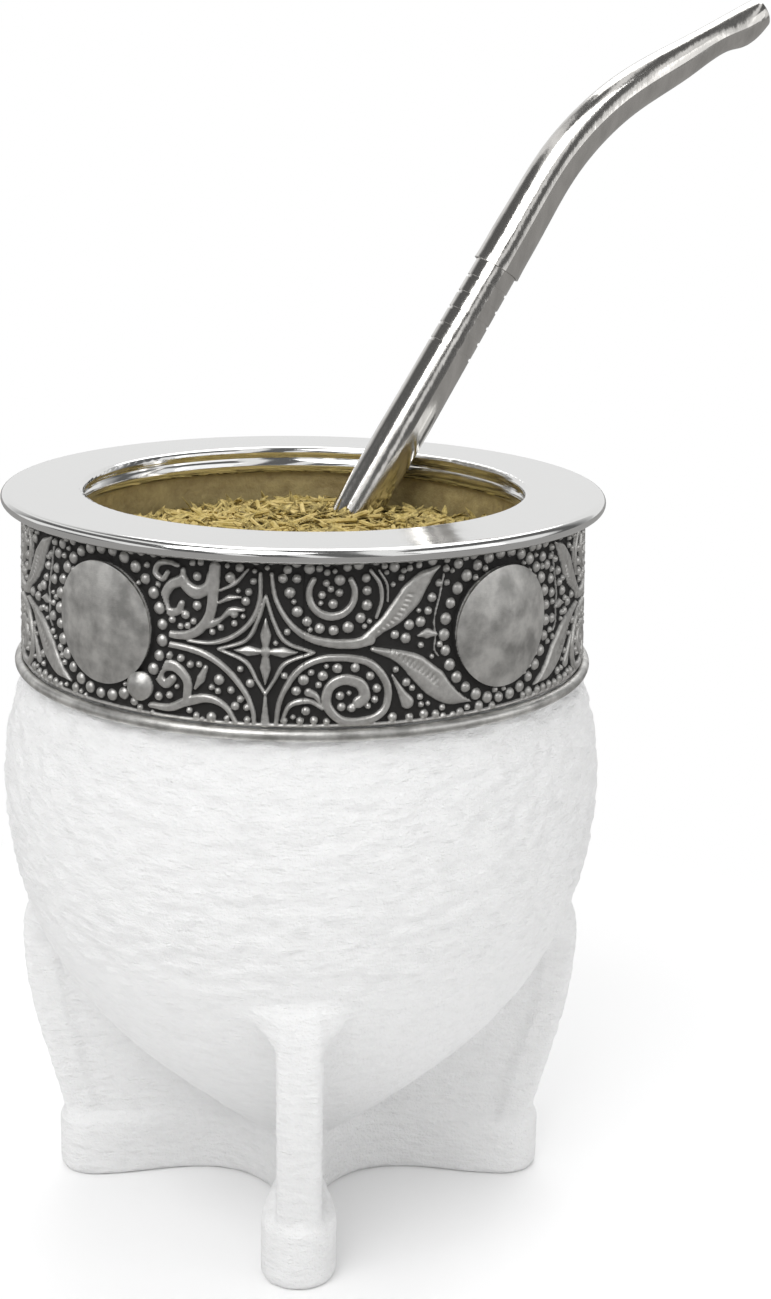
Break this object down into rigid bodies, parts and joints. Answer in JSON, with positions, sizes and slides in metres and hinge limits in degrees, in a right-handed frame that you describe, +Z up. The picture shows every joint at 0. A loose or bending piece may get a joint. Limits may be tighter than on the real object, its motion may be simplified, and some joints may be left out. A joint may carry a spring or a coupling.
{
  "type": "mate gourd drink",
  "caption": "Leather-covered mate gourd on a cross-shaped leather foot, with an embossed metal band and wide rim, filled with yerba, and a bent metal straw leaning in it.",
  "frame": {"origin": "middle of the flat underside of the foot, on the gourd's axis", "axes": "+Z up the gourd's axis; -Y towards the front of the band, where its star is; the straw leans towards +X"},
  "size_m": [0.1284, 0.0976, 0.1974],
  "materials": {
    "white_leather": "matt white leather with a fine wrinkled grain",
    "shell": "bare dried gourd, stained by tea",
    "polished_rim": "polished steel",
    "antique_silver": "embossed silver, blackened in the hollows",
    "boss_silver": "satin silver with fine scratches",
    "straw_steel": "polished steel",
    "dry_leaf": "dry cut leaf and twigs, golden olive"
  },
  "bodies": {
    "root": {"gourd_shell": "shell", "leather_cover": "white_leather", "leg_base": "white_leather", "rim": "polished_rim", "band": "antique_silver", "band_wire": "boss_silver", "boss_1": "boss_silver", "boss_2": "boss_silver", "boss_3": "boss_silver", "boss_4": "boss_silver", "small_boss_1": "boss_silver", "small_boss_2": "boss_silver", "straw_stem": "straw_steel", "mouthpiece": "straw_steel", "yerba": "dry_leaf"}
  },
  "joints": []
}
